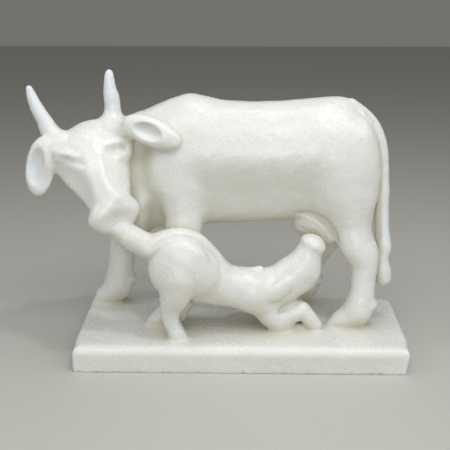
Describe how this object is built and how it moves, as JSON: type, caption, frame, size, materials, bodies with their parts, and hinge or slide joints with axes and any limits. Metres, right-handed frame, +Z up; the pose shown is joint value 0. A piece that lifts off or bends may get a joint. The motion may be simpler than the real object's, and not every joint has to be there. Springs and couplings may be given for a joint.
{
  "type": "cow statue",
  "caption": "Carved white marble statue of a humped cow who turns to lick her suckling calf, cut with its plinth from one block; it stands on a shelf or altar.",
  "frame": {"origin": "middle of the plinth's flat underside", "axes": "+Z up; +X along the plinth towards the cow's rump, so she faces -X; the calf kneels on her -Y side, which the picture shows"},
  "size_m": [0.34, 0.1214, 0.2595],
  "materials": {
    "marble": "hand-polished white marble, slightly translucent, warmer in its hollows"
  },
  "bodies": {
    "root": {"cow_and_calf": "marble"}
  },
  "joints": []
}
